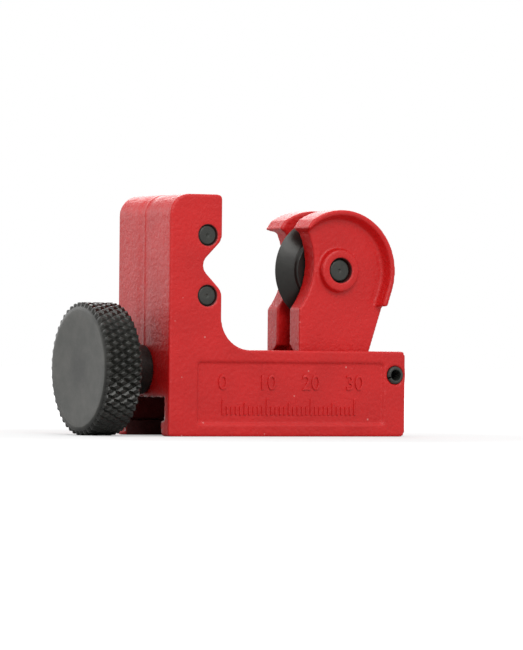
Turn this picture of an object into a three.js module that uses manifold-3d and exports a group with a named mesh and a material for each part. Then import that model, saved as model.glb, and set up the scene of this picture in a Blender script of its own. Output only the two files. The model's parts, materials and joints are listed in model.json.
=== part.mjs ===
// A compact tube cutter: a die-cast frame carries two rollers and guides a sliding
// carriage with the cutting wheel, and a knurled knob on a feed screw moves the carriage.
// Units are millimetres and +Z is up. Lengths along X are counted from the outer face of
// the frame's upright leg, heights from the base, and Y from the middle plane. The whole
// group is then centred along X, so its origin is the middle of its footprint.

import * as THREE from "three";
import { mergeVertices } from "three/addons/utils/BufferGeometryUtils.js";
import Module from "manifold-3d";

const wasm = await Module();
wasm.setup();

// ---- clearances ----
const slidingGap = 0.3; // between the carriage and its guides
const runningGap = 0.1; // radial, round a turning shaft or roller
const pressGap = 0.05; // radial, round a pin held in its hole
const faceGap = 0.1; // axial, between a turning shoulder and the face it bears on

// ---- frame ----
const bodyLength = 53.8;
const bodyHeight = 48;
const bodyWidth = 22.8;
const armHeight = 17.2;
const legWidth = 11.6;
const throatFillet = 6.5; // inner corner between leg and arm
const crownFillet = 4.2; // outer top corner of the leg
const smallFillet = 1.0;
const baseFillet = 0.5;
const panelDepth = 0.45;
const panelLeft = 6.4;
const panelEndMargin = 5.0; // from the panel to the arm's end
const panelBottom = 2.4;
const panelHeight = 12.4;
const panelFillet = 0.7;

// ---- guide slot, a T section open at the base, at both ends and along the arm's top ----
const lipHeight = 3.0;
const lipWall = 3.4; // from the outside face to the opening between the lips
const teeHeight = 4.8; // of the wide part above the lips
const teeWall = 2.0;
const slotStart = 13.0; // where the narrow upper slot begins, just inside the throat fillet

// ---- rollers ----
const rollerRadius = 4.9;
const rollerLength = 10.4;
const rollerEndGap = 0.3;
const rollerPocketGap = 0.6; // round the rollers, in the leg
const rollerSpacing = 12.0;
const rollerTopInset = 14.1; // from the leg's top down to the middle of the pair
const rollerInset = 3.2; // from the leg's inner face to the roller axes
const rollerPinRadius = 2.0;
const pinRecess = 0.3; // of a pin's end below the face it sits in
const rollerGrooveDepth = 1.1;
const rollerGrooveHalf = 1.1;
const rollerChamfer = 0.4;
const notchDepth = 4.15;
const notchRootRadius = 2.2;
const notchLipRadius = 3.0;

// ---- cutting wheel ----
const wheelRadius = 10.6;
const wheelDrop = 0.45; // of the wheel's axis below the middle of the rollers
const wheelHubRadius = 7.2;
const wheelBevelHalf = 1.6; // half the thickness where the bevel meets the hub
const wheelHubHalf = 2.3;
const wheelPinRadius = 2.25;
const wheelPinHolePlay = 0.25;
const wheelPinRecess = 0.65;

// ---- carriage, with its own X counted from the neck's left face ----
const carriageWidth = 13.8;
const baseLength = 13.5;
const forkGap = 5.2;
const wheelAxisX = 8.6;
const headRadius = 12.2;
const rimStand = 2.3; // how far the rim stands out from the side face
const rimWidth = 0.95;
const rimDraft = 0.9;
const rimFall = 7.15; // from the wheel's axis down to the rim's lower end
const bossRadius = 4.2;
const bossDraft = 0.25;
const bossStand = 1.55;
const biteRadius = 14.5; // hollow front edge of the ears
const biteDepth = 3.3;
const biteRise = 1.4; // of the bite's centre above the wheel's axis
const noseAngle = THREE.MathUtils.degToRad(123.6);
const tipAngle = THREE.MathUtils.degToRad(133.5);
const tipInset = 0.55;
const biteTopRise = 7.55;
const neckLean = THREE.MathUtils.degToRad(18);
const forkFloorGap = 0.9; // under the wheel
const forkFrontDepth = 6.5;
const ringPocketRadius = 5.7;
const ringPocketDepth = 3.0;

// ---- feed screw, knob and what retains them ----
const screwHeight = 13.2;
const screwRadius = 3.0;
const threadRadius = 2.95;
const collarRadius = 4.95;
const knobRadius = 13.2;
const knobThickness = 7.8;
const knobFaceRadius = 11.7;
const knobFaceChamfer = 0.5;
const knobBackChamfer = 0.3;
const knobStandOff = 6.6; // from the leg to the knob's back, the collar's length
const knobSkin = 1.9; // solid face in front of the screw's end
const ringRadius = 5.0;
const ringThickness = 1.0;
const ringGrooveDepth = 0.6;
const ringGapAngle = THREE.MathUtils.degToRad(70);
const stopPinRadius = 1.8;
const stopPinBore = 1.15;
const stopPinSlit = 0.5;
const stopPinInset = 2.4; // from the arm's end
const stopPinHeight = 12.4;
const stopPinProud = 0.3;
const openTravel = 4.4; // of the carriage from here to the stop pin

// ---- sizes that follow ----
const halfBody = bodyWidth / 2;
const lipTop = lipHeight;
const teeTop = lipHeight + teeHeight;
const rollerMid = bodyHeight - rollerTopInset;
const rollerX = legWidth - rollerInset;
const rollerPocketHalf = rollerLength / 2 + rollerEndGap;
const rollerRing = rollerRadius + rollerPocketGap;
const wheelZ = rollerMid - wheelDrop;
const sideY = carriageWidth / 2;
const armSlotHalf = sideY + slidingGap;
const stopPinX = bodyLength - stopPinInset;
const carriageX = stopPinX - stopPinRadius - openTravel - baseLength;
const screwEnd = stopPinX - stopPinRadius - 1.2;
const knobFaceX = -(knobStandOff + knobThickness);
const ringX = slotStart + faceGap;

// ---- finishes ----
const redPaint = { color: 0xb8211f, roughness: 0.42, metalness: 0.0 };
const blackSteel = { color: 0x2a2b28, roughness: 0.45, metalness: 0.7 };
const toolSteel = { color: 0x34352f, roughness: 0.3, metalness: 0.85 };
const pinSteel = { color: 0x3c3e38, roughness: 0.4, metalness: 0.8 };

const roundSteps = 48;
const arcStep = THREE.MathUtils.degToRad(7.5);

// ---- solids ----
function solidOf(geometry) {
  const plain = geometry.clone();
  plain.deleteAttribute("normal");
  plain.deleteAttribute("uv");
  const merged = mergeVertices(plain, 1e-4);
  return new wasm.Manifold(
    new wasm.Mesh({
      numProp: 3,
      vertProperties: new Float32Array(merged.attributes.position.array),
      triVerts: new Uint32Array(merged.index.array),
    }),
  );
}

function geometryOf(solid) {
  const mesh = solid.getMesh();
  const geometry = new THREE.BufferGeometry();
  geometry.setAttribute("position", new THREE.BufferAttribute(mesh.vertProperties, 3));
  geometry.setIndex(new THREE.BufferAttribute(mesh.triVerts, 1));
  geometry.computeVertexNormals();
  return geometry;
}

// Points of an arc about a centre, from one angle to another, both ends included.
function arcPoints(cx, cy, radius, from, to) {
  const steps = Math.max(2, Math.ceil(Math.abs(to - from) / arcStep));
  const points = [];
  for (let i = 0; i <= steps; i += 1) {
    const angle = from + ((to - from) * i) / steps;
    points.push(new THREE.Vector2(cx + radius * Math.cos(angle), cy + radius * Math.sin(angle)));
  }
  return points;
}

// A closed outline of [x, y, fillet radius] corners, with each filleted corner as an arc.
function filletedOutline(corners) {
  const points = [];
  corners.forEach(([x, y, radius], i) => {
    const corner = new THREE.Vector2(x, y);
    if (!radius) {
      points.push(corner);
      return;
    }
    const before = corners.at(i - 1);
    const after = corners[(i + 1) % corners.length];
    const toBefore = new THREE.Vector2(before[0], before[1]).sub(corner).normalize();
    const toAfter = new THREE.Vector2(after[0], after[1]).sub(corner).normalize();
    const halfAngle = Math.acos(toBefore.dot(toAfter)) / 2;
    const middle = toBefore.clone().add(toAfter).normalize();
    const centre = middle.multiplyScalar(radius / Math.sin(halfAngle)).add(corner);
    const reach = radius / Math.tan(halfAngle);
    const start = toBefore.multiplyScalar(reach).add(corner).sub(centre).angle();
    const end = toAfter.multiplyScalar(reach).add(corner).sub(centre).angle();
    const turn = THREE.MathUtils.euclideanModulo(end - start + Math.PI, 2 * Math.PI) - Math.PI;
    points.push(...arcPoints(centre.x, centre.y, radius, start, start + turn));
  });
  return points;
}

// An outline in the XZ plane, extruded between two values of Y.
function plate(points, fromY, toY) {
  const geometry = new THREE.ExtrudeGeometry(new THREE.Shape(points), {
    depth: toY - fromY,
    bevelEnabled: false,
  });
  geometry.rotateX(Math.PI / 2);
  geometry.translate(0, toY, 0);
  return solidOf(geometry);
}

function block(fromX, toX, halfY, fromZ, toZ) {
  const geometry = new THREE.BoxGeometry(toX - fromX, 2 * halfY, toZ - fromZ);
  geometry.translate((fromX + toX) / 2, 0, (fromZ + toZ) / 2);
  return solidOf(geometry);
}

function rodAlongX(radius, fromX, toX, z) {
  const geometry = new THREE.CylinderGeometry(radius, radius, toX - fromX, roundSteps);
  geometry.rotateZ(-Math.PI / 2);
  geometry.translate((fromX + toX) / 2, 0, z);
  return solidOf(geometry);
}

function rodAlongY(radius, halfY, x, z) {
  const geometry = new THREE.CylinderGeometry(radius, radius, 2 * halfY, roundSteps);
  geometry.translate(x, 0, z);
  return solidOf(geometry);
}

// A frustum along Y on one side of the middle plane: side is 1 or -1.
function coneAlongY(innerRadius, outerRadius, fromY, toY, x, z, side) {
  const geometry = new THREE.CylinderGeometry(outerRadius, innerRadius, toY - fromY, 2 * roundSteps);
  geometry.translate(0, (fromY + toY) / 2, 0);
  if (side < 0) geometry.rotateX(Math.PI);
  geometry.translate(x, 0, z);
  return solidOf(geometry);
}

// A profile of [radius, distance along the axis] turned about Y.
function turned(profile) {
  const points = profile.map(([radius, along]) => new THREE.Vector2(radius, along));
  return new THREE.LatheGeometry([...points, points[0]], roundSteps);
}

function alongX(geometry) {
  return geometry.rotateZ(-Math.PI / 2);
}

function piece(name, geometry, finish) {
  const mesh = new THREE.Mesh(geometry, new THREE.MeshStandardMaterial(finish));
  mesh.name = name;
  return mesh;
}

// ---- frame ----
function makeFrame() {
  const notchRootX = legWidth - notchDepth;
  const notchPointX = notchRootX - notchRootRadius * (Math.SQRT2 - 1);
  const notchHalf = legWidth - notchPointX;
  const outline = filletedOutline([
    [0, 0, baseFillet],
    [bodyLength, 0, smallFillet],
    [bodyLength, armHeight, smallFillet],
    [legWidth, armHeight, throatFillet],
    [legWidth, rollerMid - notchHalf, notchLipRadius],
    [notchPointX, rollerMid, notchRootRadius],
    [legWidth, rollerMid + notchHalf, notchLipRadius],
    [legWidth, bodyHeight, smallFillet],
    [0, bodyHeight, crownFillet],
  ]);
  const past = 1; // how far a through cut runs past the faces
  let frame = plate(outline, -halfBody, halfBody);

  const tee = block(-past, bodyLength + past, halfBody - teeWall, lipTop, teeTop);
  const mouth = block(-past, bodyLength + past, halfBody - lipWall, -past, lipTop + past);
  const armSlotTop = armHeight + throatFillet + past;
  const armSlot = block(slotStart, bodyLength + past, armSlotHalf, teeTop - past, armSlotTop);
  frame = frame.subtract(tee).subtract(mouth).subtract(armSlot);
  frame = frame.subtract(rodAlongX(screwRadius + runningGap, -past, slotStart + past, screwHeight));

  const pocketLeft = rollerX - rollerRing;
  const pocketRight = legWidth + throatFillet;
  const pocketLow = rollerMid - rollerSpacing / 2 - rollerRing;
  const pocketHigh = rollerMid + rollerSpacing / 2 + rollerRing;
  const pocket = filletedOutline([
    [pocketLeft, pocketLow, rollerRing * 0.9],
    [pocketRight, pocketLow, 0],
    [pocketRight, pocketHigh, 0],
    [pocketLeft, pocketHigh, rollerRing * 0.9],
  ]);
  frame = frame.subtract(plate(pocket, -rollerPocketHalf, rollerPocketHalf));
  for (const side of [-1, 1]) {
    const pinZ = rollerMid + (side * rollerSpacing) / 2;
    frame = frame.subtract(rodAlongY(rollerPinRadius + pressGap, halfBody + past, rollerX, pinZ));
  }
  frame = frame.subtract(rodAlongY(stopPinRadius + pressGap, halfBody + past, stopPinX, stopPinHeight));

  const panelRight = bodyLength - panelEndMargin;
  const panelTop = panelBottom + panelHeight;
  const panel = filletedOutline([
    [panelLeft, panelBottom, panelFillet],
    [panelRight, panelBottom, panelFillet],
    [panelRight, panelTop, panelFillet],
    [panelLeft, panelTop, panelFillet],
  ]);
  frame = frame.subtract(plate(panel, halfBody - panelDepth, halfBody + past));
  frame = frame.subtract(plate(panel, -halfBody - past, -halfBody + panelDepth));
  return piece("frame", geometryOf(frame), redPaint);
}

function makeRoller(name, z) {
  const half = rollerLength / 2;
  const bore = rollerPinRadius + runningGap;
  const grooveFloor = rollerRadius - rollerGrooveDepth;
  const geometry = turned([
    [bore, -half],
    [rollerRadius - rollerChamfer, -half],
    [rollerRadius, -half + rollerChamfer],
    [rollerRadius, -rollerGrooveHalf],
    [grooveFloor, -rollerGrooveHalf],
    [grooveFloor, rollerGrooveHalf],
    [rollerRadius, rollerGrooveHalf],
    [rollerRadius, half - rollerChamfer],
    [rollerRadius - rollerChamfer, half],
    [bore, half],
  ]);
  const roller = piece(name, geometry, blackSteel);
  roller.position.set(rollerX, 0, z);
  return roller;
}

// A plain pin along Y, with a small edge chamfer and a turned centre dimple at each end.
function makePin(name, radius, half, x, z) {
  const chamfer = 0.25;
  const dimple = 0.35;
  const geometry = new THREE.LatheGeometry(
    [
      [0, -half + dimple],
      [dimple, -half],
      [radius - chamfer, -half],
      [radius, -half + chamfer],
      [radius, half - chamfer],
      [radius - chamfer, half],
      [dimple, half],
      [0, half - dimple],
    ].map(([r, y]) => new THREE.Vector2(r, y)),
    roundSteps,
  );
  const pin = piece(name, geometry, pinSteel);
  pin.position.set(x, 0, z);
  return pin;
}

// A rolled spring pin: a tube along Y with a slit down one side.
function makeStopPin() {
  const half = halfBody + stopPinProud;
  const outerSlit = Math.asin(stopPinSlit / 2 / stopPinRadius);
  const innerSlit = Math.asin(stopPinSlit / 2 / stopPinBore);
  const section = [
    ...arcPoints(0, 0, stopPinRadius, outerSlit, 2 * Math.PI - outerSlit),
    ...arcPoints(0, 0, stopPinBore, 2 * Math.PI - innerSlit, innerSlit),
  ];
  const pin = piece("stop_pin", geometryOf(plate(section, -half, half)), pinSteel);
  pin.position.set(stopPinX, 0, stopPinHeight);
  return pin;
}

// ---- carriage ----
// Side outline of the neck and the two ears, as points counted anticlockwise.
function carriageOutline() {
  const baseBottom = lipTop + slidingGap;
  const undercut = armHeight - 2 * slidingGap;
  const biteX = biteDepth - biteRadius;
  const biteZ = wheelZ + biteRise;
  const biteTop = Math.asin((biteTopRise - biteRise) / biteRadius);
  const biteKnee = -Math.acos(-biteX / biteRadius);
  const tangentX = wheelAxisX + headRadius * Math.cos(neckLean);
  const tangentZ = wheelZ - headRadius * Math.sin(neckLean);
  const neckRight = tangentX - (tangentZ - undercut) * Math.tan(neckLean);
  const tipReach = headRadius - tipInset;
  return [
    new THREE.Vector2(0, baseBottom),
    new THREE.Vector2(baseLength, baseBottom),
    new THREE.Vector2(baseLength, undercut),
    new THREE.Vector2(neckRight, undercut),
    ...arcPoints(wheelAxisX, wheelZ, headRadius, -neckLean, noseAngle),
    new THREE.Vector2(
      wheelAxisX + tipReach * Math.cos(tipAngle),
      wheelZ + tipReach * Math.sin(tipAngle),
    ),
    ...arcPoints(biteX, biteZ, biteRadius, biteTop, biteKnee),
  ];
}

function makeCarriage() {
  const outline = carriageOutline();
  const past = 1;
  const rimY = sideY + rimStand;
  const rimEnd = wheelZ - rimFall;
  const headTop = wheelZ + headRadius + past;
  const headRight = wheelAxisX + headRadius + past;
  const flangeHalf = halfBody - teeWall - slidingGap;
  const flangeTop = teeTop - slidingGap;

  let rim = plate(outline, -rimY, rimY);
  rim = rim.intersect(block(-headRight, headRight, rimY + past, rimEnd, headTop));
  const rimInner = headRadius - rimWidth;
  for (const side of [-1, 1]) {
    // The recess follows the head's circle, then the neck's slope below it.
    for (const slide of [0, 0.5, 1]) {
      const shift = slide * (rimFall - headRadius * Math.sin(neckLean));
      const x = wheelAxisX - shift * Math.tan(neckLean);
      const recess = coneAlongY(rimInner - rimDraft, rimInner, sideY, rimY, x, wheelZ - shift, side);
      rim = rim.subtract(recess);
    }
  }

  let carriage = plate(outline, -sideY, sideY).add(rim);
  carriage = carriage.add(block(0, baseLength, flangeHalf, lipTop + slidingGap, flangeTop));
  for (const side of [-1, 1]) {
    const reach = sideY + bossStand;
    const root = bossRadius + bossDraft;
    carriage = carriage.add(coneAlongY(root, bossRadius, sideY - past, reach, wheelAxisX, wheelZ, side));
  }

  const forkFloor = wheelZ - wheelRadius - forkFloorGap;
  const ringPocketTop = screwHeight + screwRadius;
  carriage = carriage.subtract(block(-headRight, headRight, forkGap / 2, forkFloor, headTop));
  carriage = carriage.subtract(block(-past, forkFrontDepth, forkGap / 2, ringPocketTop, forkFloor + past));
  carriage = carriage.subtract(rodAlongX(ringPocketRadius, -past, ringPocketDepth, screwHeight));
  carriage = carriage.subtract(rodAlongX(threadRadius + runningGap, -past, baseLength + past, screwHeight));
  const pinHole = wheelPinRadius + wheelPinHolePlay;
  carriage = carriage.subtract(rodAlongY(pinHole, rimY + past, wheelAxisX, wheelZ));
  return piece("carriage", geometryOf(carriage), redPaint);
}

function makeWheel() {
  const bore = wheelPinRadius + runningGap;
  const shoulder = wheelHubRadius - 0.3;
  const geometry = turned([
    [bore, -wheelHubHalf],
    [shoulder, -wheelHubHalf],
    [wheelHubRadius, -wheelBevelHalf],
    [wheelRadius, 0],
    [wheelHubRadius, wheelBevelHalf],
    [shoulder, wheelHubHalf],
    [bore, wheelHubHalf],
  ]);
  const wheel = piece("cutting_wheel", geometry, toolSteel);
  wheel.position.set(wheelAxisX, 0, wheelZ);
  return wheel;
}

// ---- feed screw group, turning about its own X axis ----
function makeScrew() {
  const shankEnd = knobFaceX + knobSkin + slidingGap;
  const grooveRadius = screwRadius - ringGrooveDepth;
  const grooveStart = ringX - pressGap;
  const grooveEnd = ringX + ringThickness + pressGap;
  const endChamfer = 0.8;
  const profile = [
    [0, shankEnd],
    [screwRadius, shankEnd],
    [screwRadius, -knobStandOff],
    [collarRadius, -knobStandOff],
    [collarRadius, -faceGap],
    [screwRadius, -faceGap],
    [screwRadius, grooveStart],
    [grooveRadius, grooveStart],
    [grooveRadius, grooveEnd],
    [threadRadius, grooveEnd],
    [threadRadius, screwEnd - endChamfer],
    [threadRadius - endChamfer, screwEnd],
    [0, screwEnd],
  ];
  const points = profile.map(([radius, along]) => new THREE.Vector2(radius, along));
  return piece("feed_screw", alongX(new THREE.LatheGeometry(points, roundSteps)), blackSteel);
}

function makeKnob() {
  const back = -knobStandOff - faceGap;
  const bore = screwRadius + pressGap;
  const points = [
    [0, knobFaceX],
    [knobFaceRadius, knobFaceX],
    [knobRadius, knobFaceX + knobFaceChamfer],
    [knobRadius, back - knobBackChamfer],
    [knobRadius - knobBackChamfer, back],
    [bore, back],
    [bore, knobFaceX + knobSkin],
    [0, knobFaceX + knobSkin],
  ].map(([radius, along]) => new THREE.Vector2(radius, along));
  return piece("knob", alongX(new THREE.LatheGeometry(points, 2 * roundSteps)), blackSteel);
}

// An open ring snapped into the screw's groove, lying in the YZ plane.
function makeRetainingRing() {
  const inner = screwRadius - ringGrooveDepth + pressGap;
  const from = ringGapAngle / 2;
  const to = 2 * Math.PI - ringGapAngle / 2;
  const shape = new THREE.Shape([
    ...arcPoints(0, 0, ringRadius, from, to),
    ...arcPoints(0, 0, inner, to, from),
  ]);
  const geometry = new THREE.ExtrudeGeometry(shape, { depth: ringThickness, bevelEnabled: false });
  geometry.rotateY(Math.PI / 2);
  geometry.translate(ringX, 0, 0);
  return piece("retaining_ring", geometry, pinSteel);
}

// ---- assembly ----
const rollerPinHalf = halfBody - pinRecess;
const frameGroup = new THREE.Group();
frameGroup.add(makeFrame(), makeStopPin());
[
  ["lower", -1],
  ["upper", 1],
].forEach(([name, side]) => {
  const z = rollerMid + (side * rollerSpacing) / 2;
  frameGroup.add(makeRoller(name + "_roller", z));
  frameGroup.add(makePin(name + "_roller_pin", rollerPinRadius, rollerPinHalf, rollerX, z));
});

const screwGroup = new THREE.Group();
screwGroup.position.z = screwHeight;
screwGroup.add(makeScrew(), makeKnob(), makeRetainingRing());

const wheelPinHalf = sideY + bossStand - wheelPinRecess;
const carriageGroup = new THREE.Group();
carriageGroup.position.x = carriageX;
carriageGroup.add(makeCarriage(), makeWheel());
carriageGroup.add(makePin("wheel_pin", wheelPinRadius, wheelPinHalf, wheelAxisX, wheelZ));

const tubeCutter = new THREE.Group();
tubeCutter.position.x = -(bodyLength + knobFaceX) / 2;
tubeCutter.add(frameGroup, screwGroup, carriageGroup);

export default tubeCutter;
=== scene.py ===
import json
import math

import bmesh
import bpy
import numpy as np
from mathutils import Matrix, Vector


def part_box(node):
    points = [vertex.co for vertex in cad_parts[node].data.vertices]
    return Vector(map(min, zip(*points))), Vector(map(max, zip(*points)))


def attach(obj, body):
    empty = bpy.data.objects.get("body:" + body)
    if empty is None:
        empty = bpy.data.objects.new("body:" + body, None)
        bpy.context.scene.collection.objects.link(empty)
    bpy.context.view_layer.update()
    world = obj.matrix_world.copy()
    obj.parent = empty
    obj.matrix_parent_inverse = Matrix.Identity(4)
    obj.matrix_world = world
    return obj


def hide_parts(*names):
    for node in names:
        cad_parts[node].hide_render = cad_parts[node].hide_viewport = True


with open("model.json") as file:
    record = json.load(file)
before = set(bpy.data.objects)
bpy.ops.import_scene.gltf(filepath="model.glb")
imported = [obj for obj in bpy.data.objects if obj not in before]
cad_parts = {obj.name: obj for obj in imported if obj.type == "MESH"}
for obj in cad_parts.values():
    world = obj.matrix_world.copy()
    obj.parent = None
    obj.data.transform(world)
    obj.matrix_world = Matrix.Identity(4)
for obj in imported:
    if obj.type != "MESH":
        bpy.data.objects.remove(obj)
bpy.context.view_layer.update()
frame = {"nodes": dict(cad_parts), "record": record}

mm = 0.001
turn = 2 * math.pi


# Mesh helpers

def toArray(corner):
    return np.array(corner, float)


# A surface from a grid of points, rows by columns. Neighbouring points make quads; a pole closes
# the first or last row with a fan. Faces are turned outwards if the volume is negative.
def gridMesh(name, grid, wrapRows=False, wrapColumns=True, startPole=None, endPole=None):
    rows, columns = grid.shape[:2]
    index = np.arange(rows * columns).reshape(rows, columns)
    nextRow = np.roll(index, -1, 0) if wrapRows else index[1:]
    thisRow = index if wrapRows else index[:-1]
    if wrapColumns:
        quads = np.stack([thisRow, np.roll(thisRow, -1, 1), np.roll(nextRow, -1, 1), nextRow], -1)
    else:
        quads = np.stack([thisRow[:, :-1], thisRow[:, 1:], nextRow[:, 1:], nextRow[:, :-1]], -1)
    faces = quads.reshape(-1, 4).tolist()
    points = grid.reshape(-1, 3)
    for pole, row, forward in ((startPole, index[0], False), (endPole, index[-1], True)):
        if pole is None:
            continue
        tip = len(points)
        points = np.vstack([points, np.asarray(pole, float)[None]])
        after = np.roll(row, -1)
        pair = (row, after) if forward else (after, row)
        faces += np.stack([pair[0], pair[1], np.full_like(row, tip)], -1).tolist()
    mesh = bpy.data.meshes.new(name)
    mesh.from_pydata(points.tolist(), [], faces)
    return finishMesh(name, mesh)


# Smooth shading with sharp edges past an angle, faces outward by the sign of the volume.
def finishMesh(name, mesh, sharpAngle=32):
    shape = bmesh.new()
    shape.from_mesh(mesh)
    if shape.calc_volume(signed=True) < 0:
        bmesh.ops.reverse_faces(shape, faces=shape.faces)
    shape.to_mesh(mesh)
    shape.free()
    mesh.shade_smooth()
    mesh.set_sharp_from_angle(angle=math.radians(sharpAngle))
    piece = bpy.data.objects.new(name, mesh)
    bpy.context.scene.collection.objects.link(piece)
    return piece


# An open profile with its corners rounded: each [radius, along, fillet] corner becomes a quadratic
# curve from one fillet length before it to one after it.
def softened(corners, steps=4):
    points = np.array([corner[:2] for corner in corners], float)
    out = [points[0]]
    for i in range(1, len(points) - 1):
        reach = corners[i][2] if len(corners[i]) > 2 else 0
        if not reach:
            out.append(points[i])
            continue
        before, after = points[i - 1] - points[i], points[i + 1] - points[i]
        start = points[i] + before / np.linalg.norm(before) * min(reach, np.linalg.norm(before) / 2)
        end = points[i] + after / np.linalg.norm(after) * min(reach, np.linalg.norm(after) / 2)
        t = np.linspace(0, 1, steps + 1)[:, None]
        out.extend((1 - t) ** 2 * start + 2 * t * (1 - t) * points[i] + t * t * end)
    out.append(points[-1])
    return np.array(out)


# Each profile point [radius, along] goes round the axis: centre + along * axis + radius * (cos a *
# side + sin a * up). A closed profile joins its last row to its first.
def lathe(name, profile, centre, axis, columns=128, closed=False):
    axis = np.array(axis, float)
    side = np.array([0, 0, 1.0])
    up = np.cross(axis, side)
    angle = np.linspace(0, turn, columns, endpoint=False)
    ring = np.cos(angle)[:, None] * side + np.sin(angle)[:, None] * up
    profile = np.asarray(profile, float) * mm
    poles = [None, None]
    if not closed:
        poles = [centre + profile[0, 1] * axis, centre + profile[-1, 1] * axis]
        profile = profile[1:-1]
    grid = centre + profile[:, 1][:, None, None] * axis + profile[:, 0][:, None, None] * ring
    return gridMesh(name, grid, wrapRows=closed, startPole=poles[0], endPole=poles[1])


# A closed profile of [along outward, along across] carried along a path; both ends are capped with
# a fan about the profile's middle.
def sweep(name, path, outward, across, profile):
    grid = (path[:, None, :] + profile[None, :, 0, None] * outward[:, None, :]
            + profile[None, :, 1, None] * across[:, None, :])
    return gridMesh(name, grid, startPole=grid[0].mean(0), endPole=grid[-1].mean(0))


# One mesh from several objects' meshes, which are then removed.
def joinInto(name, parts):
    whole = bmesh.new()
    for part in parts:
        whole.from_mesh(part.data)
        bpy.data.objects.remove(part)
    mesh = bpy.data.meshes.new(name)
    whole.to_mesh(mesh)
    whole.free()
    mesh.shade_smooth()
    mesh.set_sharp_from_angle(angle=math.radians(32))
    piece = bpy.data.objects.new(name, mesh)
    bpy.context.scene.collection.objects.link(piece)
    return piece


def addModifier(piece, kind, **settings):
    modifier = piece.modifiers.new(kind.title(), kind)
    for key, value in settings.items():
        setattr(modifier, key, value)
    return modifier


# Every piece ends the same way: its body, its finish, and the CAD nodes it stands for.
def settle(piece, body, slot, material, *nodes):
    piece.data.materials.clear()
    piece.data.materials.append(material)
    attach(piece, body)
    if nodes:
        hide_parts(*nodes)
    return piece


# Material helpers

# A node material with the Principled shader and the Object coordinates at hand.
class Finish:
    def __init__(self, name, **constants):
        self.material = bpy.data.materials.new(name)
        self.material.use_nodes = True
        self.tree = self.material.node_tree
        self.shader = self.tree.nodes["Principled BSDF"]
        for socket, value in constants.items():
            self.shader.inputs[socket.replace("_", " ")].default_value = value
        self.place = self.add("ShaderNodeTexCoord").outputs["Object"]

    def add(self, kind, **settings):
        node = self.tree.nodes.new(kind)
        for key, value in settings.items():
            setattr(node, key, value)
        return node

    def link(self, source, target):
        self.tree.links.new(source, target)

    def stretched(self, scale):
        node = self.add("ShaderNodeMapping")
        node.inputs["Scale"].default_value = scale
        self.link(self.place, node.inputs["Vector"])
        return node.outputs["Vector"]

    # Noise with a feature size in metres.
    def noise(self, size, detail=2.0, rough=0.5, coords=None):
        node = self.add("ShaderNodeTexNoise")
        node.inputs["Scale"].default_value = 1 / size
        node.inputs["Detail"].default_value = detail
        node.inputs["Roughness"].default_value = rough
        self.link(coords or self.place, node.inputs["Vector"])
        return node.outputs["Fac"]

    # Round specks in some of the cells of a Voronoi pattern: 1 inside a speck, 0 outside.
    def spots(self, size, share):
        node = self.add("ShaderNodeTexVoronoi")
        node.inputs["Scale"].default_value = 1 / size
        self.link(self.place, node.inputs["Vector"])
        split = self.add("ShaderNodeSeparateColor")
        self.link(node.outputs["Color"], split.inputs["Color"])
        near = self.math("LESS_THAN", node.outputs["Distance"], 0.11)
        chosen = self.math("LESS_THAN", split.outputs["Red"], share)
        return self.math("MULTIPLY", near, chosen)

    # The distance from a line through a point, along X or Y.
    def distanceAcross(self, axis, middle):
        split = self.add("ShaderNodeSeparateXYZ")
        self.link(self.place, split.inputs["Vector"])
        flat = self.add("ShaderNodeCombineXYZ")
        for key in "XYZ".replace(axis, ""):
            self.link(split.outputs[key], flat.inputs[key])
        node = self.add("ShaderNodeVectorMath", operation="DISTANCE")
        self.link(flat.outputs["Vector"], node.inputs[0])
        target = [float(value) for value in middle]
        target["XYZ".index(axis)] = 0.0
        node.inputs[1].default_value = target
        return node.outputs["Value"]

    def math(self, operation, first, second=0.0, third=0.0):
        node = self.add("ShaderNodeMath", operation=operation)
        for socket, value in zip(node.inputs, (first, second, third)):
            if isinstance(value, (int, float)):
                socket.default_value = value
            else:
                self.link(value, socket)
        return node.outputs["Value"]

    def remap(self, source, low, high, toLow, toHigh):
        node = self.add("ShaderNodeMapRange")
        for key, value in zip(("From Min", "From Max", "To Min", "To Max"), (low, high, toLow, toHigh)):
            node.inputs[key].default_value = value
        self.link(source, node.inputs["Value"])
        return node.outputs["Result"]

    def blend(self, factor, first, second):
        node = self.add("ShaderNodeMix", data_type="RGBA")
        self.link(factor, node.inputs["Factor"])
        for socket, value in ((node.inputs[6], first), (node.inputs[7], second)):
            if isinstance(value, tuple):
                socket.default_value = (*value, 1)
            else:
                self.link(value, socket)
        return node.outputs[2]

    # Bump layers of (height, distance in metres, strength), the coarsest first.
    def bump(self, *layers):
        normal = None
        for height, distance, strength in layers:
            node = self.add("ShaderNodeBump")
            node.inputs["Distance"].default_value = distance
            node.inputs["Strength"].default_value = strength
            self.link(height, node.inputs["Height"])
            if normal:
                self.link(normal, node.inputs["Normal"])
            normal = node.outputs["Normal"]
        self.link(normal, self.shader.inputs["Normal"])


# Where things are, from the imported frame

frameLow, frameHigh = (toArray(corner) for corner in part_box("frame"))
knobLow, knobHigh = (toArray(corner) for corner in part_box("knob"))
screwLow, screwHigh = (toArray(corner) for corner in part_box("feed_screw"))
screwCentre = (screwLow + screwHigh) / 2
legX = frameLow[0]


def onAxis(node):
    low, high = (toArray(corner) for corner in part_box(node))
    return (low + high) / 2, (high - low) / 2


# Finishes

paintLook = {
    "red": (0.58, 0.006, 0.006),
    "deepRed": (0.52, 0.004, 0.004),
    "dust": (0.72, 0.36, 0.33),
    # painted shade for the inside of the guide slot and the rings round the pin holes
    "paintedSlotShade": (0.022, 0.006, 0.005),
    "roughness": (0.36, 0.48),
    "peelSize": 0.8 * mm,
    "grainSize": 0.2 * mm,
}
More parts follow.
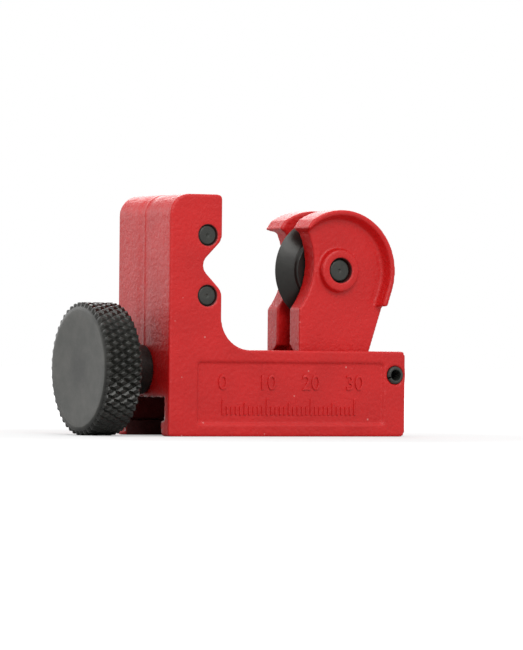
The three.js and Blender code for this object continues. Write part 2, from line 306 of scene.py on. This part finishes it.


# Textured red paint with dust specks. Masks from the Object coordinates paint shade in near black:
# inside the guide slot, by |y| and z, and round the pin holes, by the distance from each pin's axis.
def makePaint():
    paint = Finish("redTexturedPaint", Metallic=0.0, IOR=1.48)
    cloud = paint.noise(9 * mm, 3)
    peel = paint.noise(paintLook["peelSize"], 3, 0.55)
    grain = paint.noise(paintLook["grainSize"], 2, 0.6)
    body = paint.blend(paint.remap(cloud, 0.35, 0.65, 0, 1), paintLook["red"], paintLook["deepRed"])
    speck = paint.math("MULTIPLY", paint.spots(1.7 * mm, 0.12), 0.45)
    painted = paint.blend(speck, body, paintLook["dust"])
    split = paint.add("ShaderNodeSeparateXYZ")
    paint.link(paint.place, split.inputs["Vector"])
    # Masks for the painted shade inside the slot and round the pin holes.
    inside = paint.remap(paint.math("ABSOLUTE", split.outputs["Y"]), 9.6 * mm, 9.35 * mm, 0, 1)
    below = paint.remap(split.outputs["Z"], 7.95 * mm, 7.7 * mm, 0, 1)
    behind = paint.remap(split.outputs["X"], legX + 0.15 * mm, legX + 0.6 * mm, 0, 1)
    slot = paint.math("MULTIPLY", paint.math("MULTIPLY", inside, below), behind)
    for pin, ring in (("wheel_pin", 0.26), ("upper_roller_pin", 0.12), ("lower_roller_pin", 0.12)):
        middle, half = onAxis(pin)
        away = paint.distanceAcross("Y", middle)
        hole = paint.remap(away, half[2] + (ring + 0.16) * mm, half[2] + ring * mm, 0, 1)
        slot = paint.math("MAXIMUM", slot, hole)
    # Painted shade: the slot and pin-hole masks darken the red to near black.
    colour = paint.blend(paint.math("MULTIPLY", slot, 0.93), painted, paintLook["paintedSlotShade"])
    paint.link(colour, paint.shader.inputs["Base Color"])
    rough = paint.remap(peel, 0.3, 0.7, *paintLook["roughness"])
    paint.link(paint.math("MULTIPLY_ADD", slot, 0.2, rough), paint.shader.inputs["Roughness"])
    paint.bump((peel, 0.20 * mm, 0.75), (grain, 0.04 * mm, 0.5))
    return paint.material


# The pale torn edge of the casting round the slot: red showing through in patches.
def makeBarePaint():
    edge = Finish("tornCastEdge", Metallic=0.0, IOR=1.48)
    patch = edge.noise(0.8 * mm, 3, 0.6)
    grain = edge.noise(0.15 * mm, 2, 0.6)
    colour = edge.blend(edge.remap(patch, 0.42, 0.58, 0, 1), (0.56, 0.34, 0.33), (0.42, 0.05, 0.045))
    edge.link(colour, edge.shader.inputs["Base Color"])
    edge.link(edge.remap(grain, 0.3, 0.7, 0.4, 0.6), edge.shader.inputs["Roughness"])
    edge.bump((patch, 0.05 * mm, 0.5), (grain, 0.02 * mm, 0.4))
    return edge.material


# Blackened steel: a mottled oxide, paler where it has rubbed, with fine turning marks.
def makeBlackSteel(name, dark, worn, roughness, lathed=0.0, metallic=0.4):
    steel = Finish(name, Metallic=metallic, IOR=1.5)
    cloud = steel.noise(2.6 * mm, 4, 0.6)
    grain = steel.noise(0.2 * mm, 2, 0.6)
    body = steel.blend(steel.remap(cloud, 0.40, 0.72, 0, 1), dark, worn)
    stain = steel.remap(steel.noise(1.1 * mm, 3), 0.60, 0.75, 0, 0.35)
    oil = tuple(value * 0.8 for value in dark)
    steel.link(steel.blend(stain, body, oil), steel.shader.inputs["Base Color"])
    steel.link(steel.remap(grain, 0.3, 0.7, *roughness), steel.shader.inputs["Roughness"])
    layers = [(cloud, 0.03 * mm, 0.25), (grain, 0.012 * mm, 0.35)]
    if lathed:
        marks = steel.noise(0.14 * mm, 1, 0.5, steel.stretched((1, 0.02, 1)))
        layers.append((marks, 0.01 * mm, lathed))
    steel.bump(*layers)
    return steel.material


# The knob's black: one steel, painted darker in the knurl as painted shade and a lighter grey on its flat face
# as painted reflection, with a dim round patch in the middle. The masks follow the radius about the screw.
def makeKnobSteel():
    look = knobSteelLook
    steel = Finish("blackKnobSteel", Metallic=0.35, IOR=1.5)
    radius = steel.distanceAcross("X", screwCentre)
    face = steel.remap(radius, 11.95 * mm, 11.8 * mm, 0, 1)
    cloud = steel.noise(3.2 * mm, 4, 0.62)
    grain = steel.noise(0.2 * mm, 2, 0.6)
    ragged = steel.math("MULTIPLY_ADD", cloud, 2.4 * mm, radius)
    patch = steel.remap(ragged, 5.8 * mm, 3.2 * mm, 0, 0.75)
    rubbed = steel.blend(steel.remap(cloud, 0.38, 0.70, 0, 1), look["face"], look["faceWornAndSheen"])
    faceWithPaintedSheen = steel.blend(patch, rubbed, look["patch"])
    knurl = steel.blend(steel.remap(cloud, 0.40, 0.72, 0, 1), look["knurl"], look["knurlWorn"])
    # Painted reflection and shade: the flat face gets a lighter grey than the knurl of the same steel.
    steel.link(steel.blend(face, knurl, faceWithPaintedSheen), steel.shader.inputs["Base Color"])
    rough = steel.remap(grain, 0.3, 0.7, *look["roughness"])
    steel.link(steel.math("MULTIPLY_ADD", face, 0.10, rough), steel.shader.inputs["Roughness"])
    steel.bump((cloud, 0.04 * mm, 0.25), (grain, 0.012 * mm, 0.3))
    return steel.material


# Face colours hold a painted reflection, knurl colours painted shade; each pair also mottles at random.
knobSteelLook = {
    "face": (0.024, 0.025, 0.020), "faceWornAndSheen": (0.046, 0.045, 0.038), "patch": (0.008, 0.008, 0.006),
    "knurl": (0.010, 0.010, 0.008), "knurlWorn": (0.022, 0.022, 0.018), "roughness": (0.26, 0.38),
}
redPaint = makePaint()
tornEdge = makeBarePaint()
knobSteel = makeKnobSteel()
blackSteel = makeBlackSteel("blackOxideSteel", (0.010, 0.010, 0.009), (0.024, 0.023, 0.020), (0.26, 0.38))
wheelSteel = makeBlackSteel("blackWheelSteel", (0.018, 0.018, 0.016), (0.026, 0.026, 0.023), (0.28, 0.38), 0.3)
pinSteel = makeBlackSteel("oiledPinSteel", (0.034, 0.036, 0.032), (0.050, 0.052, 0.046), (0.40, 0.52))
print("finishes ready")


# Cast pieces: the two red castings

castLook = {
    "voxel": 0.25 * mm, "softenSteps": 4,  # the rounding a die and thick paint leave on every edge
    "keep": 0.4,  # share of the faces kept, most of them at the edges
    "ridge": 0.15, "ridgeHalf": 0.26, "troughHalf": 2.4,  # parting line over the leg, in mm
    "endLow": 0.18, "endBulge": 1.9,  # the arm's end, set back except beside the stop pin
    "seatGap": 0.12,  # in mm, between the stop pin and its seat on the carriage
}


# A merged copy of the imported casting, remade on a fine grid and smoothed.
def castingMesh(node, name):
    shape = bmesh.new()
    shape.from_mesh(frame["nodes"][node].data)
    bmesh.ops.remove_doubles(shape, verts=shape.verts, dist=0.002 * mm)
    mesh = bpy.data.meshes.new(name)
    shape.to_mesh(mesh)
    shape.free()
    casting = bpy.data.objects.new(name, mesh)
    bpy.context.scene.collection.objects.link(casting)
    addModifier(casting, "REMESH", mode="VOXEL", voxel_size=castLook["voxel"], adaptivity=0.0)
    addModifier(casting, "SMOOTH", factor=0.5, iterations=castLook["softenSteps"])
    soft = bpy.data.meshes.new_from_object(casting.evaluated_get(bpy.context.evaluated_depsgraph_get()))
    bpy.data.objects.remove(casting)
    return soft


def readVectors(source, key):
    values = np.zeros(len(source) * 3)
    source.foreach_get(key, values)
    return values.reshape(-1, 3)


# Inward moves along the normal. Over the leg: ridge * (1 - exp(-(y / ridgeHalf) ^ 2)) * exp(-(y /
# troughHalf) ^ 4). On the arm's end: endLow * (1 - exp(-((z - pin z) / endBulge) ^ 2)).
def wornFrame(mesh):
    points = readVectors(mesh.vertices, "co")
    normals = readVectors(mesh.vertex_normals, "vector")
    x, y, z = (points / mm).T
    low, high = frameLow / mm, frameHigh / mm
    overLeg = ((normals[:, 0] < -0.3) & (x < low[0] + 4.5)) | ((normals[:, 2] > 0.5) & (z > high[2] - 4.5))
    overLeg &= z > 8.4
    line = 1 - np.exp(-(y / castLook["ridgeHalf"]) ** 2)
    inward = overLeg * castLook["ridge"] * line * np.exp(-(y / castLook["troughHalf"]) ** 4)
    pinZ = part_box("stop_pin")[0][2] / mm + 1.8
    atEnd = (normals[:, 0] > 0.4) & (x > high[0] - 0.8)
    inward += atEnd * castLook["endLow"] * (1 - np.exp(-((z - pinZ) / castLook["endBulge"]) ** 2))
    points -= normals * (inward * mm)[:, None]
    mesh.vertices.foreach_set("co", points.ravel())
    mesh.update()


# Where the stop pin bears at the end of the stroke, points nearer its axis than its radius plus a
# gap move straight out from the axis to that distance.
def seatedCarriage(mesh):
    points = readVectors(mesh.vertices, "co")
    pin, half = onAxis("stop_pin")
    joints = frame["record"]["behaviour"]["joints"]
    stroke = next(joint["range_m"][1] for joint in joints if joint["name"] == "carriage_slide")
    offset = points[:, [0, 2]] - [pin[0] - stroke, pin[2]]
    away = np.linalg.norm(offset, axis=1)
    seat = half[2] + castLook["seatGap"] * mm
    scale = np.where(away < seat, seat / np.maximum(away, 1e-6), 1.0)
    points[:, [0, 2]] += offset * (scale - 1)[:, None]
    mesh.vertices.foreach_set("co", points.ravel())
    mesh.update()


def makeCasting(node, name, body, wear=None):
    mesh = castingMesh(node, name)
    if wear:
        wear(mesh)
    mesh.shade_smooth()
    casting = bpy.data.objects.new(name, mesh)
    bpy.context.scene.collection.objects.link(casting)
    addModifier(casting, "DECIMATE", ratio=castLook["keep"])
    return settle(casting, body, "red_paint", redPaint, node)


makeCasting("frame", "frameCasting", "frame", wornFrame)
makeCasting("carriage", "carriageCasting", "carriage", seatedCarriage)
print("castings ready")


# Knob

knobLook = {
    "diamonds": 47,
    "samples": 14,  # columns for each diamond
    "axialPitch": 2.9,
    "depth": 0.5,
    "crest": 0.42,  # share of a tooth left blunt
    "faceRadius": 11.7,
    "dish": 0.2,
    "sideRows": 84,
}


# Radius = body(x) - depth * the deeper of two crossed V grooves; each groove is a triangle wave of
# diamonds * angle / turn plus or minus x / pitch. The grooves fade on the face and the back.
def makeKnob():
    radius = (knobHigh[2] - knobLow[2]) / 2 / mm
    front, back = knobLow[0] / mm, knobHigh[0] / mm
    faceRadius = knobLook["faceRadius"]
    chamfer = 0.5
    bore = 3.05
    along = np.linspace(front + chamfer, back - 0.4, knobLook["sideRows"])
    faceRings = np.array([0.15, 0.3, 0.45, 0.6, 0.72, 0.82, 0.9, 0.95, 0.985]) * faceRadius
    faceDip = knobLook["dish"] * np.clip(1 - (faceRings / (faceRadius * 0.93)) ** 2, 0, 1)
    bevel = np.linspace(0, 1, 9)[1:-1]
    bevelRadius = faceRadius + 0.08 + (radius - faceRadius - 0.08) * bevel
    bevelAlong = front + 0.03 + (chamfer - 0.03) * bevel ** 1.25
    profile = np.vstack([
        np.column_stack([faceRings, front + faceDip]),
        [[faceRadius, front], [faceRadius + 0.08, front + 0.03]],
        np.column_stack([bevelRadius, bevelAlong]),
        np.column_stack([np.full_like(along, radius), along]),
        [[radius - 0.08, back - 0.2], [radius - 0.32, back], [radius - 1.2, back],
         [radius - 1.9, back], [bore + 0.2, back], [bore, back - 0.2],
         [bore, front + 2.1], [bore - 0.3, front + 1.95]],
    ])
    columns = knobLook["diamonds"] * knobLook["samples"]
    angle = np.linspace(0, turn, columns, endpoint=False)
    around = knobLook["diamonds"] * angle / turn
    r, x = profile[:, :1], profile[:, 1:]
    grooves = []
    for sign in (1, -1):
        phase = around[None, :] + sign * x / knobLook["axialPitch"]
        tooth = np.abs(2 * (phase - np.floor(phase)) - 1)  # 1 in the groove, 0 on the crest
        grooves.append(np.clip((tooth - knobLook["crest"]) / (1 - knobLook["crest"]), 0, 1))
    cut = np.maximum(*grooves)
    fade = np.clip((r - (faceRadius + 0.6)) / 0.6, 0, 1)
    r = r - knobLook["depth"] * cut * fade
    centre = np.array([0, screwCentre[1], screwCentre[2]])
    grid = np.stack([np.broadcast_to(x, r.shape), r * np.cos(angle), r * np.sin(angle)], -1) * mm + centre
    startPole = [(front + knobLook["dish"]) * mm, centre[1], centre[2]]
    endPole = [(front + 1.9) * mm, centre[1], centre[2]]
    return gridMesh("knurledKnob", grid, startPole=startPole, endPole=endPole)


settle(makeKnob(), "screw", "black_oxide", knobSteel, "knob")
print("knob ready")


# Feed screw

screwLook = {"pitch": 1.0, "rowsPerPitch": 10, "threadDepth": 0.58, "crest": 2.95, "columns": 56}


# A turned shank, collar and journal, then a thread: radius = crest - depth * |2 f - 1| softened,
# where f is the fraction of x / pitch - angle / turn, so the helix is right-handed.
def makeScrew():
    start = screwLow[0] / mm
    end = screwHigh[0] / mm
    leg = legX / mm
    ringLow, ringHigh = (corner[0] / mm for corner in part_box("retaining_ring"))
    collar = 4.95
    turnedPart = softened([
        [0, start], [3.0, start, 0.1], [3.0, leg - 6.6], [collar - 0.25, leg - 6.6], [collar, leg - 6.3, 0.2],
        [collar, leg - 0.12, 0.35], [3.0, leg - 0.1], [3.0, ringLow - 0.05], [2.4, ringLow - 0.05],
        [2.4, ringHigh + 0.05], [2.6, ringHigh + 0.06],
    ])[1:]
    rows = int((end - ringHigh) / screwLook["pitch"] * screwLook["rowsPerPitch"])
    threadX = np.linspace(ringHigh + 0.2, end, rows)
    columns = screwLook["columns"]
    angle = np.linspace(0, turn, columns, endpoint=False)
    phase = threadX[:, None] / screwLook["pitch"] - angle[None, :] / turn
    wave = np.abs(2 * (phase - np.floor(phase)) - 1)
    wave = np.clip(1.25 * wave - 0.12, 0, 1)
    nearEnd = np.clip((threadX - (end - 1.0)) / 1.0, 0, 1)[:, None]
    crest = screwLook["crest"] - 0.75 * nearEnd
    thread = np.minimum(screwLook["crest"] - screwLook["threadDepth"] * wave, crest)
    plain = np.repeat(turnedPart[:, :1], columns, 1)
    r = np.vstack([plain, thread])
    x = np.concatenate([turnedPart[:, 1], threadX])[:, None]
    centre = np.array([0, screwCentre[1], screwCentre[2]])
    grid = np.stack([np.broadcast_to(x, r.shape), r * np.cos(angle), r * np.sin(angle)], -1) * mm + centre
    poles = [[start * mm, centre[1], centre[2]], [end * mm, centre[1], centre[2]]]
    return gridMesh("feedScrew", grid, startPole=poles[0], endPole=poles[1])


settle(makeScrew(), "screw", "black_oxide", blackSteel, "feed_screw")


# Cutting wheel, rollers and pins

wheelLook = {"bore": 2.35, "hubRadius": 7.2, "bevelHalf": 1.55, "edgeFlat": 0.03}


# A turned disc: two bevels to a keen edge, a small step and a flat hub each side.
def makeWheel():
    centre, half = onAxis("cutting_wheel")
    radius, hub = half[2] / mm, half[1] / mm
    bevel, step = wheelLook["bevelHalf"], wheelLook["hubRadius"]
    side = [
        [wheelLook["bore"] + 0.15, hub], [step - 0.55, hub, 0.1], [step - 0.3, hub - 0.25, 0.1],
        [step - 0.12, bevel + 0.02, 0.1], [step + 0.1, bevel - 0.02, 0.08], [radius, wheelLook["edgeFlat"]],
    ]
    front = softened([[wheelLook["bore"], hub - 0.15], *side])[1:]
    back = front[::-1] * [1, -1]
    profile = np.vstack([front, back])
    return lathe("cuttingWheel", profile, centre, (0, 1, 0), 200, closed=True)


rollerLook = {"bore": 2.1, "groove": 1.1, "chamfer": 0.4}


# A turned sleeve with rounded ends and a relief groove round its middle.
def makeRoller(name, node):
    centre, half = onAxis(node)
    r, end = half[2] / mm, half[1] / mm
    groove, chamfer = rollerLook["groove"], rollerLook["chamfer"]
    side = softened([
        [rollerLook["bore"] + 0.2, end], [r - chamfer, end, 0.15], [r, end - chamfer, 0.15],
        [r, groove + 0.15, 0.12], [r - groove + 0.1, groove, 0.12], [r - groove, groove - 0.3],
    ])
    back = side[::-1] * [1, -1]
    bore = [[rollerLook["bore"], -end + 0.2], [rollerLook["bore"], end - 0.2]]
    return lathe(name, np.vstack([side, back, bore]), centre, (0, 1, 0), 96, closed=True)


# A turned pin with rounded edges and a small centre mark at each end.
def makePin(name, node, chamfer=0.28):
    centre, half = onAxis(node)
    r, end = half[2] / mm, half[1] / mm
    front = softened([
        [0, end - 0.22], [0.14, end - 0.2], [0.32, end - 0.03, 0.08], [0.62, end, 0.1],
        [r - chamfer, end, 0.12], [r, end - chamfer, 0.12], [r, 0],
    ])
    back = front[::-1] * [1, -1]
    return lathe(name, np.vstack([front[:-1], back[1:]]), centre, (0, 1, 0), 64)


stopPinLook = {"bore": 1.12, "slit": 0.42, "slitAngle": 200, "chamfer": 0.3}


# A rolled pin: the wall's long section, rounded at its ends, carried round the axis from one side
# of the slit to the other.
def makeStopPin():
    centre, half = onAxis("stop_pin")
    r, end = half[2] / mm, half[1] / mm
    bore, chamfer = stopPinLook["bore"], stopPinLook["chamfer"]
    wall = softened([
        [bore, 0], [bore, end, 0.1], [r - chamfer, end, 0.12], [r, end - chamfer, 0.15], [r, 0],
        [r, -end + chamfer, 0.15], [r - chamfer, -end, 0.12], [bore, -end, 0.1], [bore, 0],
    ])[:-1] * mm
    gap = math.asin(stopPinLook["slit"] / 2 / r)
    middle = math.radians(stopPinLook["slitAngle"])
    angle = np.linspace(middle + gap, middle + turn - gap, 72)
    outward = np.stack([np.cos(angle), 0 * angle, np.sin(angle)], -1)
    across = np.broadcast_to([0.0, 1.0, 0.0], outward.shape)
    path = np.broadcast_to(centre, outward.shape)
    return sweep("stopPin", path, outward, across, wall)


settle(makeWheel(), "wheel", "wheel_steel", wheelSteel, "cutting_wheel")
for level in ("upper", "lower"):
    settle(makeRoller(level + "Roller", level + "_roller"), level + "_roller", "black_oxide", blackSteel,
           level + "_roller")
    settle(makePin(level + "RollerPin", level + "_roller_pin"), "frame", "pin_steel", pinSteel,
           level + "_roller_pin")
settle(makePin("wheelPin", "wheel_pin"), "carriage", "pin_steel", pinSteel, "wheel_pin")
settle(makeStopPin(), "frame", "pin_steel", pinSteel, "stop_pin")
ring = frame["nodes"]["retaining_ring"]
ring.data.materials.clear()
ring.data.materials.append(pinSteel)
print("turned pieces ready")


# Torn edge round the slot's mouth

flashLook = {"half": 0.10, "ragged": 0.07, "wander": 0.10, "step": 0.12, "corner": 0.5, "seed": 4}


# A thin ragged ridge along one side of the slot's outline on the leg's outer face: an oval section
# whose size and place follow smoothed random steps along the path.
def makeSlotFlash(name, side):
    rng = np.random.default_rng(flashLook["seed"] + (side > 0))
    corners = softened([
        [0.3, 7.82], [9.38, 7.82, flashLook["corner"]], [9.42, 3.05, flashLook["corner"]],
        [8.02, 2.95, flashLook["corner"]], [8.02, 0.7],
    ], 6)
    run = np.concatenate([[0], np.cumsum(np.linalg.norm(np.diff(corners, axis=0), axis=1))])
    at = np.linspace(0, run[-1], int(run[-1] / flashLook["step"]))
    path = np.column_stack([np.interp(at, run, corners[:, 0]), np.interp(at, run, corners[:, 1])])
    along = np.gradient(path, axis=0)
    along /= np.linalg.norm(along, axis=1)[:, None]
    kernel = np.hanning(9) / np.hanning(9).sum()
    size, shift = (np.convolve(rng.uniform(-1, 1, len(at) + 8), kernel, "valid") * 2.2 for _ in range(2))
    across2d = np.column_stack([-along[:, 1], along[:, 0]])
    path = path + across2d * (flashLook["wander"] * shift)[:, None]
    zero = np.zeros(len(at))
    centre = np.column_stack([np.full(len(at), 0.13), side * path[:, 0], path[:, 1]]) * mm + [legX, 0, 0]
    half = np.clip(flashLook["half"] + flashLook["ragged"] * size, 0.03, 0.125)[:, None] * mm
    outward = np.column_stack([zero - 1, zero, zero]) * half
    across = np.column_stack([zero, side * across2d[:, 0], across2d[:, 1]]) * half
    angle = np.linspace(0, turn, 8, endpoint=False)
    section = np.column_stack([np.cos(angle), 1.25 * np.sin(angle)])
    return sweep(name, centre, outward, across, section)


flash = joinInto("slotFlash", [makeSlotFlash("flash", -1), makeSlotFlash("flash", 1)])
settle(flash, "frame", "red_paint", tornEdge)
print("slot edge ready")


# Raised rule on the front panel

ruleLook = {
    "zeroX": 12.2, "length": 30, "numbers": (0, 10, 20, 30), "tickBottom": 4.3,
    "tickHeights": {10: 3.1, 5: 2.4, 1: 1.6}, "tickWidth": 0.34,
    "numberHeight": 3.0, "numberMiddle": 10.6, "panelDepth": 0.45, "proud": 0.24,
}


# A raised bar with sloping sides: a wide foot sunk in the panel and a narrower top.
def makeTick(x, bottom, height):
    floorY = frameLow[1] / mm + ruleLook["panelDepth"]
    width = ruleLook["tickWidth"]
    levels = [(0.05, 0.10), (-ruleLook["proud"] * 0.75, 0.02), (-ruleLook["proud"], -0.07)]
    rows = []
    for depth, spread in levels:
        w, h = width / 2 + spread, height / 2 + spread
        corners = np.array([[-w, -h], [w, -h], [w, h], [-w, h]]) + [x, bottom + height / 2]
        rows.append(np.column_stack([corners[:, 0], np.full(4, floorY + depth), corners[:, 1]]))
    grid = np.array(rows) * mm + [legX, 0, 0]
    return gridMesh("tick", grid, startPole=grid[0].mean(0), endPole=grid[-1].mean(0))


# A plain number as raised letters with rounded edges, standing in the panel's floor.
def makeNumber(value, x):
    text = bpy.data.curves.new("number", "FONT")
    text.body = str(value)
    text.size = ruleLook["numberHeight"] / 0.7
    text.align_x, text.align_y = "CENTER", "CENTER"
    text.extrude, text.bevel_depth, text.bevel_resolution = 0.12, 0.06, 1
    text.offset = -0.03
    text.resolution_u = 5
    carrier = bpy.data.objects.new("number", text)
    bpy.context.scene.collection.objects.link(carrier)
    bpy.context.view_layer.update()
    mesh = bpy.data.meshes.new_from_object(carrier)
    bpy.data.objects.remove(carrier)
    points = np.zeros(len(mesh.vertices) * 3)
    mesh.vertices.foreach_get("co", points)
    points = points.reshape(-1, 3)
    floorY = frameLow[1] / mm + ruleLook["panelDepth"]
    placed = np.column_stack([
        points[:, 0] + x, floorY - ruleLook["proud"] + 0.18 - points[:, 2],
        points[:, 1] + ruleLook["numberMiddle"],
    ]) * mm + [legX, 0, 0]
    mesh.vertices.foreach_set("co", placed.ravel())
    mesh.update()
    shape = bmesh.new()
    shape.from_mesh(mesh)
    bmesh.ops.remove_doubles(shape, verts=shape.verts, dist=0.001 * mm)
    bmesh.ops.recalc_face_normals(shape, faces=shape.faces)
    shape.to_mesh(mesh)
    shape.free()
    piece = bpy.data.objects.new("number", mesh)
    bpy.context.scene.collection.objects.link(piece)
    return piece


raised = [makeNumber(value, ruleLook["zeroX"] + value) for value in ruleLook["numbers"]]
for step in range(ruleLook["length"] + 1):
    kind = 10 if step % 10 == 0 else 5 if step % 5 == 0 else 1
    raised.append(makeTick(ruleLook["zeroX"] + step, ruleLook["tickBottom"], ruleLook["tickHeights"][kind]))
settle(joinInto("panelRule", raised), "frame", "red_paint", redPaint)
print("panel rule ready")


# Floor, light and camera

stageLook = {
    "floorSize": 8.0, "floorGrey": 0.50, "nearGlow": 0.34, "farGlow": 1.0, "glowReach": (0.06, 0.30),
    "worldLight": 0.62, "worldSeen": 1.0,
}


def makeFloor():
    half = stageLook["floorSize"] / 2
    mesh = bpy.data.meshes.new("floor")
    mesh.from_pydata([(-half, -half, 0), (half, -half, 0), (half, half, 0), (-half, half, 0)], [], [(0, 1, 2, 3)])
    floor = bpy.data.objects.new("floor", mesh)
    bpy.context.scene.collection.objects.link(floor)
    material = bpy.data.materials.new("paleFloor")
    material.use_nodes = True
    tree = material.node_tree
    shader = tree.nodes["Principled BSDF"]
    shader.inputs["Base Color"].default_value = (*[stageLook["floorGrey"]] * 3, 1)
    shader.inputs["Roughness"].default_value = 0.9
    shader.inputs["Specular IOR Level"].default_value = 0.0
    shader.inputs["Emission Color"].default_value = (1, 1, 1, 1)
    path = tree.nodes.new("ShaderNodeLightPath")
    place = tree.nodes.new("ShaderNodeTexCoord")
    away = tree.nodes.new("ShaderNodeVectorMath")
    away.operation = "LENGTH"
    tree.links.new(place.outputs["Object"], away.inputs[0])
    spread = tree.nodes.new("ShaderNodeMapRange")
    spread.inputs["From Min"].default_value, spread.inputs["From Max"].default_value = stageLook["glowReach"]
    spread.inputs["To Min"].default_value = stageLook["nearGlow"]
    spread.inputs["To Max"].default_value = stageLook["farGlow"]
    tree.links.new(away.outputs["Value"], spread.inputs["Value"])
    glow = tree.nodes.new("ShaderNodeMath")
    glow.operation = "MULTIPLY"
    tree.links.new(spread.outputs["Result"], glow.inputs[0])
    tree.links.new(path.outputs["Is Camera Ray"], glow.inputs[1])
    tree.links.new(glow.outputs[0], shader.inputs["Emission Strength"])
    floor.data.materials.append(material)


def makeWorld():
    world = bpy.data.worlds.new("studio")
    bpy.context.scene.world = world
    world.use_nodes = True
    tree = world.node_tree
    background = tree.nodes["Background"]
    background.inputs["Color"].default_value = (1, 1, 1, 1)
    path = tree.nodes.new("ShaderNodeLightPath")
    direct = tree.nodes.new("ShaderNodeMath")
    direct.operation = "MAXIMUM"
    tree.links.new(path.outputs["Is Camera Ray"], direct.inputs[0])
    tree.links.new(path.outputs["Is Glossy Ray"], direct.inputs[1])
    strength = tree.nodes.new("ShaderNodeMapRange")
    strength.inputs["To Min"].default_value = stageLook["worldLight"]
    strength.inputs["To Max"].default_value = stageLook["worldSeen"]
    tree.links.new(direct.outputs[0], strength.inputs["Value"])
    tree.links.new(strength.outputs["Result"], background.inputs["Strength"])


lampLook = {
    "key": {"place": (-0.10, -0.62, 0.48), "size": 0.40, "power": 2.9},
    "side": {"place": (-0.75, -0.05, 0.30), "size": 0.50, "power": 0.5},
    "rim": {"place": (-0.42, 0.66, 0.14), "size": 0.45, "power": 1.0},
    "back": {"place": (0.30, 0.70, 0.34), "size": 0.50, "power": 2.6},
    "top": {"place": (0.0, 0.10, 0.80), "size": 0.50, "power": 1.8},
}


def makeLamp(name, place, size, power):
    lamp = bpy.data.lights.new(name, "AREA")
    lamp.shape, lamp.size, lamp.energy = "SQUARE", size, power
    holder = bpy.data.objects.new(name, lamp)
    bpy.context.scene.collection.objects.link(holder)
    holder.location = place
    aim = Vector((0, 0, 0.02)) - Vector(place)
    holder.rotation_mode = "QUATERNION"
    holder.rotation_quaternion = aim.to_track_quat("-Z", "Y")


cameraLook = {
    "yaw": 28.31, "pitch": -0.354, "roll": 0.529,  # degrees
    "distance": 0.98336, "aim": (26.69, 0.0, 22.30),  # mm from the leg's face, the middle plane, the floor
    "lens": 269.8,
}


# The camera looks along +Y turned by yaw towards +X, with a slight roll about that line.
def makeCamera():
    yaw, pitch, roll = (math.radians(cameraLook[key]) for key in ("yaw", "pitch", "roll"))
    forward = Vector((math.sin(yaw) * math.cos(pitch), math.cos(yaw) * math.cos(pitch), -math.sin(pitch)))
    right = Vector((math.cos(yaw), -math.sin(yaw), 0))
    up = right.cross(forward)
    rolledRight = right * math.cos(roll) + up * math.sin(roll)
    rolledUp = up * math.cos(roll) - right * math.sin(roll)
    aim = Vector(cameraLook["aim"]) * mm + Vector((legX, 0, 0))
    data = bpy.data.cameras.new("camera")
    data.lens, data.sensor_width = cameraLook["lens"], 36
    data.clip_start, data.clip_end = 0.01, 50
    camera = bpy.data.objects.new("camera", data)
    bpy.context.scene.collection.objects.link(camera)
    turnTo = Matrix((rolledRight, rolledUp, -forward)).transposed().to_4x4()
    camera.matrix_world = Matrix.Translation(aim - forward * cameraLook["distance"]) @ turnTo
    bpy.context.scene.camera = camera


makeFloor()
makeWorld()
for lampName, settings in lampLook.items():
    makeLamp(lampName, **settings)
makeCamera()
bpy.context.scene.view_settings.view_transform = "Standard"
print("stage ready")
